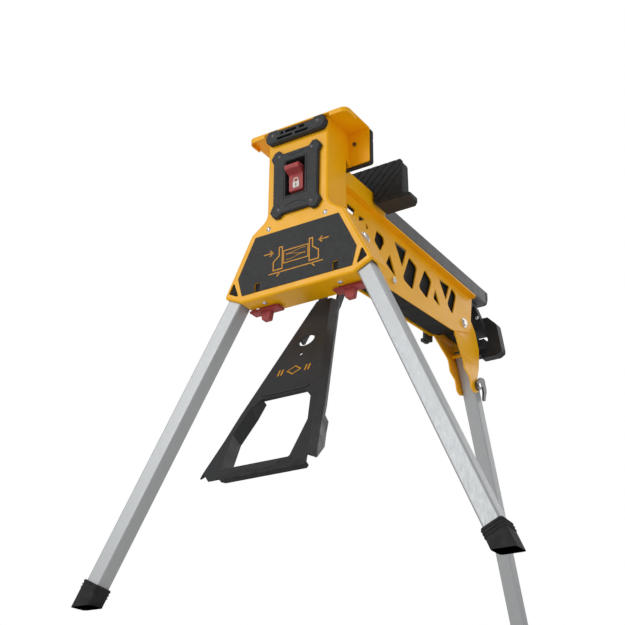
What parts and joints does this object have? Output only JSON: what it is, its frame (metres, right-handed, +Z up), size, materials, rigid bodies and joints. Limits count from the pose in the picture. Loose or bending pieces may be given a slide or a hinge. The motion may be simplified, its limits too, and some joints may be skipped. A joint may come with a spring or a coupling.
{
  "type": "clamping work support",
  "caption": "Folding tripod work clamp: yellow steel housing and lattice frame, sliding beam jaw, foot pedal, aluminium legs.",
  "frame": {"origin": "centre of the footprint's bounding box, on the floor", "axes": "+X to the right of the object seen from its front, +Y from the front housing to the rear handle, +Z up"},
  "size_m": [0.8556, 1.124, 0.905],
  "materials": {
    "yellow_paint": "satin powder coat",
    "black_paint": "satin powder coat",
    "black_plastic": "fine moulded texture",
    "grey_beam": "satin powder coat",
    "leg_aluminium": "drawn and clear anodised",
    "zinc_steel": "bright zinc plate",
    "dark_steel": "phosphated",
    "red_plastic": "fine moulded texture",
    "rubber": "ribbed",
    "label_film": "matt film",
    "inner_black": "matt"
  },
  "bodies": {
    "frame": {"front_housing": "yellow_paint", "front_label": "label_film", "skirt_liners": "inner_black", "lock_bezel": "black_plastic", "bezel_screws": "dark_steel", "lock_lever_pin": "dark_steel", "front_grip": "black_plastic", "grip_screws": "dark_steel", "housing_bolts": "zinc_steel", "fixed_jaw_bracket": "yellow_paint", "fixed_jaw_pad": "rubber", "jaw_pad_screws": "dark_steel", "frame_side_left": "yellow_paint", "frame_side_right": "yellow_paint", "frame_bolts": "zinc_steel", "frame_spacers": "zinc_steel", "inner_channel": "inner_black", "guide_shoes": "black_plastic", "brake_plates": "dark_steel", "drive_rails": "dark_steel", "leg_bracket_left": "yellow_paint", "leg_bracket_right": "yellow_paint", "leg_bolts": "zinc_steel", "rear_bracket_left": "yellow_paint", "rear_bracket_right": "yellow_paint", "leg_stop_bar": "yellow_paint", "rear_leg_bolt": "zinc_steel", "rear_handle": "black_plastic", "handle_screws": "zinc_steel", "storage_clip": "black_plastic", "pedal_pivot_pin": "zinc_steel"},
    "jaw_beam": {"slide_beam": "grey_beam", "beam_keel": "dark_steel", "beam_end_cap": "black_plastic", "moving_jaw": "black_plastic", "moving_jaw_pad": "rubber", "jaw_bolts": "zinc_steel"},
    "lock_lever": {"lock_lever": "red_plastic"},
    "pedal": {"pedal_plate": "black_paint", "pedal_arms": "black_paint", "pedal_crank_pin": "zinc_steel", "pedal_tread": "rubber", "pedal_lip": "black_paint"},
    "drive": {"drive_carriage": "dark_steel", "clutch_plates": "dark_steel"},
    "leg_right": {"leg_tube_right": "leg_aluminium", "leg_plug_right": "black_plastic", "leg_foot_right": "rubber"},
    "leg_left": {"leg_tube_left": "leg_aluminium", "leg_plug_left": "black_plastic", "leg_foot_left": "rubber"},
    "leg_rear": {"leg_tube_rear": "leg_aluminium", "leg_plug_rear": "black_plastic", "leg_foot_rear": "rubber"},
    "release_right": {"leg_release_right": "red_plastic"},
    "release_left": {"leg_release_left": "red_plastic"},
    "rear_latch": {"rear_latch": "dark_steel"}
  },
  "joints": [
    {"name": "jaw_slide", "type": "slide", "parent": "frame", "child": "jaw_beam", "axis": [0, 1, 0], "range_m": [-0.112, 0.3]},
    {"name": "lock_tilt", "type": "hinge", "parent": "frame", "child": "lock_lever", "pos_m": [0, -0.42782, 0.784], "axis": [1, 0, 0], "range_deg": [-12, 0]},
    {"name": "pedal_press", "type": "hinge", "parent": "frame", "child": "pedal", "pos_m": [0, -0.28282, 0.64], "axis": [1, 0, 0], "range_deg": [0, 18], "stiffness_Nm_per_rad": 9, "springref_deg": -45.84},
    {"name": "drive_travel", "type": "slide", "parent": "frame", "child": "drive", "axis": [0, 1, 0], "range_m": [-0.026, 0]},
    {"name": "leg_right_fold", "type": "hinge", "parent": "frame", "child": "leg_right", "pos_m": [0.1115, -0.40282, 0.62], "axis": [0.9031, 0, 0.4294], "range_deg": [0, 97]},
    {"name": "leg_left_fold", "type": "hinge", "parent": "frame", "child": "leg_left", "pos_m": [-0.1115, -0.40282, 0.62], "axis": [0.9031, 0, -0.4294], "range_deg": [0, 97]},
    {"name": "leg_rear_fold", "type": "hinge", "parent": "frame", "child": "leg_rear", "pos_m": [0, 0.29718, 0.6], "axis": [-1, 0, 0], "range_deg": [0, 90]},
    {"name": "release_right_slide", "type": "slide", "parent": "frame", "child": "release_right", "axis": [-1, 0, 0], "range_m": [0, 0.008], "stiffness_N_per_m": 600, "springref_m": -0.004},
    {"name": "release_left_slide", "type": "slide", "parent": "frame", "child": "release_left", "axis": [1, 0, 0], "range_m": [0, 0.008], "stiffness_N_per_m": 600, "springref_m": -0.004},
    {"name": "rear_latch_turn", "type": "hinge", "parent": "frame", "child": "rear_latch", "pos_m": [0.023, 0.29718, 0.6], "axis": [1, 0, 0], "range_deg": [0, 60]}
  ],
  "couplings": [
    {"joint": "drive_travel", "follows": "pedal_press", "m_per_rad": -0.07869}
  ]
}
